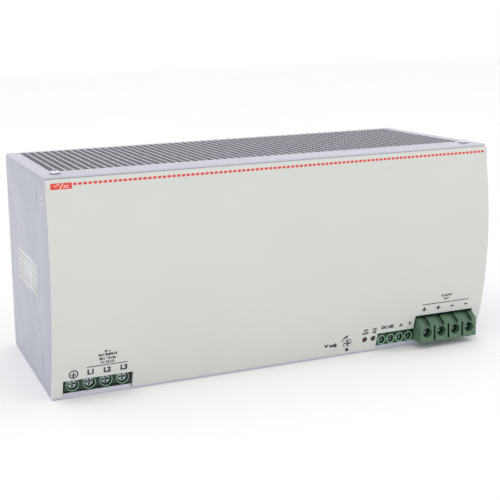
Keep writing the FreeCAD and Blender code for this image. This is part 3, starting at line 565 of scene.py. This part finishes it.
def panel_marks():
    """All dark print: terminal names, group lines, the adjuster's wedge and its end dot. Heights are above
    the floor."""
    name_height, input_rule, output_rule, sign_height = 15.4, 18.25, 27.45, 24.4
    rule_width, output_middle = 0.5, (output_x[0] + output_x[3]) / 2
    parts = earth(input_x[0], 15.2, 2.7)

    def word(text, x, height, size, weight, width=None):
        parts.append(shifted(letters(text, size, weight, width), x, height))

    for x, name in zip(input_x[1:], ("L1", "L2", "L3")):
        word(name, x, name_height, 3.4, 0.055)
    parts.append(strip(input_x[1] - 2.2, input_x[3] + 2.0, input_rule, input_rule + rule_width, nx=4))
    for height, text, width in ((27.0, "3 ~", 3.6), (24.9, "AC INPUT", 11.4), (22.6, "50 / 60 Hz", 9.6),
                                (20.4, "L1 L2 L3", 7.4)):
        word(text, input_x[2], height, 1.6, 0.07, width)

    for x, sign in zip(output_x, (plus, plus, minus, minus)):
        parts.extend(sign(x, sign_height, 3.0 if sign is plus else 2.3, 0.9))
    parts.append(strip(output_x[0] - 2.0, output_x[3] + 1.4, output_rule, output_rule + rule_width, nx=4))
    word("DC OUTPUT", output_middle, 32.4, 1.5, 0.07, 8.0)
    word("24 V", output_middle, 30.2, 1.5, 0.07)

    for x, name in ((signal_x[0] + 3.2, "DC OK"), (79.9, "A"), (86.4, "B")):
        word(name, x, 15.9, 2.3, 0.075)
    knob_x = middle("trimmer_knob")[0]
    parts.append(band(knob_x, 8.5, (4.1, 4.1), (4.4, 5.7), 165.0, 95.0, 16))
    parts.append(disc(knob_x + 0.4, 3.9, 1.15))
    word("V adj.", 32.3, 8.2, 3.0, 0.075, 9.4)
    for x, upper, lower in ((55.4, "DC", "LOW"), (61.7, "DC", "OK")):
        word(upper, x, 15.6, 1.6, 0.085)
        word(lower, x, 13.5, 1.6, 0.085)
    printed_on_front("panel_marks", parts, "black")


def dashed_line():
    """Row of short red dashes along the panel's top band."""
    pitch, first, count, height = 2.76, -122.5, 94, 121.9
    dashes = [pill(first + pitch * k, height, 2.0, 1.4, 0.45) for k in range(count)]
    printed_on_front("red_dashes", dashes, "red")


def type_badge():
    """Small red block with a plain converter sign: a slash between a wave and two bars. The wave is
    0.5 mm sin(pi t), 3 mm long and 0.36 mm thick."""
    x, z = -129.9, 121.2
    printed_on_front("type_badge", [pill(x, z, 11.6, 3.4, 0.5)], "red")
    t = np.linspace(-1, 1, 21)
    wave_y = z + 0.55 + 0.5 * np.sin(np.pi * t)
    wave_x = x - 2.4 + 1.5 * t
    lower = np.stack([wave_x, wave_y - 0.18, t * 0], 1)
    upper = np.stack([wave_x, wave_y + 0.18, t * 0], 1)
    wave = (np.concatenate([lower, upper]), [[k, k + 1, 22 + k, 21 + k] for k in range(20)])
    slash = (np.array([(x - 1.1, z - 1.6, 0), (x - 0.7, z - 1.6, 0),
                       (x + 1.3, z + 1.6, 0), (x + 0.9, z + 1.6, 0)]), [[0, 1, 2, 3]])
    bars = [strip(x + 1.2, x + 4.0, z - 0.1, z + 0.25)]
    bars += [strip(x + 1.2 + 1.0 * k, x + 1.8 + 1.0 * k, z - 1.0, z - 0.65) for k in range(3)]
    printed_on_front("type_badge_sign", [wave, slash] + bars, "white", 0.045)


# ------------------------------------------------------------------ side label
def label_print():
    """Plain rating panel: grey rules and bars in place of wording, and a framed table. Its flat parts are
    drawn in the distance forward of the label's middle and the height above it."""
    low, high = span("rating_label")
    _, y_mid, z_mid = middle("rating_label")
    _, width, height = high - low
    margin, bar, rule, row_pitch, table_pitch = 2.5, 0.45, 0.12, 2.7, 3.75
    table, column = width * 0.2, width * 0.34
    table_top = height / 2 - 2.4
    draw = np.random.default_rng(7)
    parts = []
    for row in range(6):
        left, v = -width / 2 + margin, height / 2 - 3.0 - row_pitch * row
        while left < width * 0.12:
            length = draw.uniform(2.0, 7.5)
            parts.append(strip(left, min(left + length, width * 0.14), v - bar, v + bar))
            left += length + 1.1
    for row in range(5):
        v = table_top - table_pitch * row
        parts.append(strip(table, width / 2 - margin, v - rule, v + rule))
    for side in (table, column, width / 2 - margin):
        parts.append(strip(side - rule, side + rule, table_top - 4 * table_pitch, table_top))
    for row in range(4):
        v = height / 2 - 4.3 - table_pitch * row
        for left, longest in ((width * 0.22, (3.0, 6.5)), (width * 0.36, (2.0, 5.0))):
            parts.append(strip(left, left + draw.uniform(*longest), v - 0.4, v + 0.4))
    points, faces = joined(parts)
    placed = np.stack([np.full(len(points), low[0] - 0.02), y_mid - points[:, 0], z_mid + points[:, 1]], 1)
    mesh_piece("label_print", placed, faces, PRINT["grey"])


# ------------------------------------------------------------------ terminal rims
def terminal_rims():
    """Light green moulded ring at the mouth of each signal tower and each input well: a closed profile of
    radius and depth, its front edges cut back by `ease_off`, turned about the screw's axis."""
    sides, ease_off, sunk = 48, 0.12, 0.4
    a = np.linspace(0, 2 * np.pi, sides, endpoint=False)
    for name, xs, inner, outer, proud, back in (("signal", signal_x, 2.3, 2.95, 0.04, sunk),
                                                ("input", input_x, 3.25, 3.75, 0.3, 0.0)):
        z = middle(f"{name}_screw_1")[2]
        y = span(f"{name}_housing")[0][1]
        profile = np.array([(inner, back), (inner, -proud + ease_off), (inner + ease_off, -proud),
                            (outer - ease_off, -proud), (outer, -proud + ease_off), (outer, back)])
        parts = []
        for x in xs:
            r, d = profile[:, 0][None, :], profile[:, 1][None, :]
            p = np.stack([x + r * np.cos(a)[:, None], y + d + 0 * a[:, None],
                          z + r * np.sin(a)[:, None]], -1)
            parts.append((p.reshape(-1, 3),
                          grid_faces(sides, len(profile), wrap_rows=True, wrap_columns=True)))
        points, faces = joined(parts)
        outward(mesh_piece(f"{name}_rims", points, faces, PRINT["rim"]))


# ------------------------------------------------------------------ windings
def ring_windings():
    """Three windings of round wire on each ring core. Turn t runs round a rounded section (a superellipse
    in radius and depth) while its angle about the core advances evenly, so the wire is a helix bent into
    a ring."""
    wire, turns, steps, sides = 0.85, 13, 40, 8
    core_radius, half_depth = 15.0, 7.0
    ring_middle, ring_reach, reach_in_depth = 11.5, 4.6, 8.3
    gap_angle, wound_angle = 4, 88
    parts = []
    low, high = span("filter_cores")
    y0 = low[1] + half_depth
    centres = [(low[0] + core_radius, high[2] - core_radius), (high[0] - core_radius, low[2] + core_radius)]
    t = np.linspace(0, 1, turns * steps + 1)
    section = 2 * np.pi * turns * t

    def power(v, n=0.45):
        return np.sign(v) * np.abs(v) ** n

    for cx, cz in centres:
        for start in (12, 132, 252):
            around = np.radians(start + gap_angle + wound_angle * t)
            r = ring_middle + ring_reach * power(np.cos(section))
            y = y0 + reach_in_depth * power(np.sin(section))
            line = np.stack([cx + r * np.cos(around), y, cz - r * np.sin(around)], 1)
            ahead = np.gradient(line, axis=0)
            ahead /= np.linalg.norm(ahead, axis=1)[:, None]
            tangent = np.stack([-np.sin(around), 0 * around, -np.cos(around)], 1)
            u = tangent - (tangent * ahead).sum(1)[:, None] * ahead
            u /= np.linalg.norm(u, axis=1)[:, None]
            v = np.cross(ahead, u)
            a = np.linspace(0, 2 * np.pi, sides, endpoint=False)
            across = np.cos(a)[None, :, None] * u[:, None] + np.sin(a)[None, :, None] * v[:, None]
            tube = line[:, None] + wire * across
            count = len(line)
            faces = grid_faces(count, sides, wrap_columns=True)
            faces += [list(range(sides)), list(range(count * sides - 1, (count - 1) * sides - 1, -1))]
            parts.append((tube.reshape(-1, 3), faces))
    points, faces = joined(parts)
    piece = mesh_piece("ring_windings", points, faces, FINISHES["winding_copper"], 70)
    outward(piece)
    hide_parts("filter_windings")


# ------------------------------------------------------------------ put together
for entry in frame["record"]["subparts"]:
    name = entry["node"]
    dress(NODES[name], FINISHES.get(name, FINISHES[entry["material_slot"]]))

# round on each node's edges, in millimetres; 0 only smooths its curved faces
EASED = {
    "bent_cover": 0.15, "left_side_plate": 0.2, "right_side_plate": 0.2, "rail_bracket": 0.3,
    "rail_latch": 0.25, "input_housing": 0.2, "output_housing": 0.25, "signal_housing": 0.15,
    "rating_label": 0.0, "trimmer_knob": 0.2, "trimmer_body": 0.3, "red_lamp": 0.0, "green_lamp": 0.0,
    "cover_screws": 0.1, "side_screws": 0.08, "bracket_screws": 0.1, "latch_springs": 0.0,
    "board_screws": 0.1, "board_posts": 0.1, "bulk_capacitors": 0.0, "output_capacitors": 0.0,
    "filter_cores": 0.8, "transformer_core": 0.6, "transformer_winding": 1.0, "film_capacitors": 0.3,
    "input_fuses": 0.2, "heat_sinks": 0.2, "power_transistors": 0.3, "main_board": 0.1,
}
for node, width in EASED.items():
    ease(node, width)
for group in ("input", "output", "signal"):
    for number in (1, 2, 3, 4):
        ease(f"{group}_screw_{number}", 0.1)
        ease(f"{group}_cage_{number}", 0.12)
    ease(f"{group}_contacts", 0.08)

bowed_front()
panel_marks()
dashed_line()
type_badge()
label_print()
terminal_rims()
ring_windings()


# ------------------------------------------------------------------ studio
def studio():
    """Pale floor, white surroundings, and two large soft lamps."""
    scene = bpy.context.scene
    points, faces = strip(-4000, 4000, -4000, 4000)
    mesh = bpy.data.meshes.new("floor")
    mesh.from_pydata(((points + [0, 0, floor_z - 0.02]) * MM).tolist(), [], faces)
    floor = bpy.data.objects.new("floor", mesh)
    scene.collection.objects.link(floor)
    paper = Finish("floor_paper", (252, 252, 252), 0.9)
    paper.shade(paper.noise(3, 2), (250, 250, 250), 0.4, 0.6, 0.5)
    dress(floor, paper)
    world = bpy.data.worlds.new("white_room")
    world.use_nodes = True
    world.node_tree.nodes["Background"].inputs["Color"].default_value = (1, 1, 1, 1)
    world.node_tree.nodes["Background"].inputs["Strength"].default_value = 1.0
    scene.world = world
    for name, place, size, power in (("key", (-0.9, -1.3, 1.5), 1.8, 6.0),
                                     ("fill", (1.4, -1.2, 0.7), 1.4, 2.0)):
        lamp = bpy.data.lights.new(name, "AREA")
        lamp.size, lamp.energy = size, power
        holder = bpy.data.objects.new(name, lamp)
        holder.location = place
        holder.rotation_euler = (Vector((0, -0.06, 0)) - Vector(place)).to_track_quat("-Z", "Y").to_euler()
        scene.collection.objects.link(holder)
    scene.view_settings.view_transform = "Standard"
    scene.view_settings.look = "None"


def camera():
    """Long lens at the left, a little above the case and tipped by a degree. The shift makes the uprights
    lean less."""
    azimuth, elevation, roll = -22.1, 7.41, -1.35
    distance, aim_x, aim_z = 729.5, 29.93, 109.6
    aim = np.array([aim_x, span("rail_bracket")[0][1], floor_z + aim_z])
    a, e, r = np.radians([azimuth, elevation, roll])
    back = np.array([np.sin(a) * np.cos(e), -np.cos(a) * np.cos(e), np.sin(e)])
    right = np.cross(-back, [0, 0, 1])
    right /= np.linalg.norm(right)
    up = np.cross(right, -back)
    right, up = np.cos(r) * right + np.sin(r) * up, -np.sin(r) * right + np.cos(r) * up
    data = bpy.data.cameras.new("camera")
    data.sensor_width = 36.0
    data.lens = 75.1392
    data.shift_y = -0.18
    data.clip_start, data.clip_end = 0.01, 20.0
    holder = bpy.data.objects.new("camera", data)
    turn = Matrix(np.column_stack([right, up, back]).tolist()).to_4x4()
    holder.matrix_world = Matrix.Translation(Vector((aim + back * distance) * MM)) @ turn
    bpy.context.scene.collection.objects.link(holder)
    bpy.context.scene.camera = holder


studio()
camera()
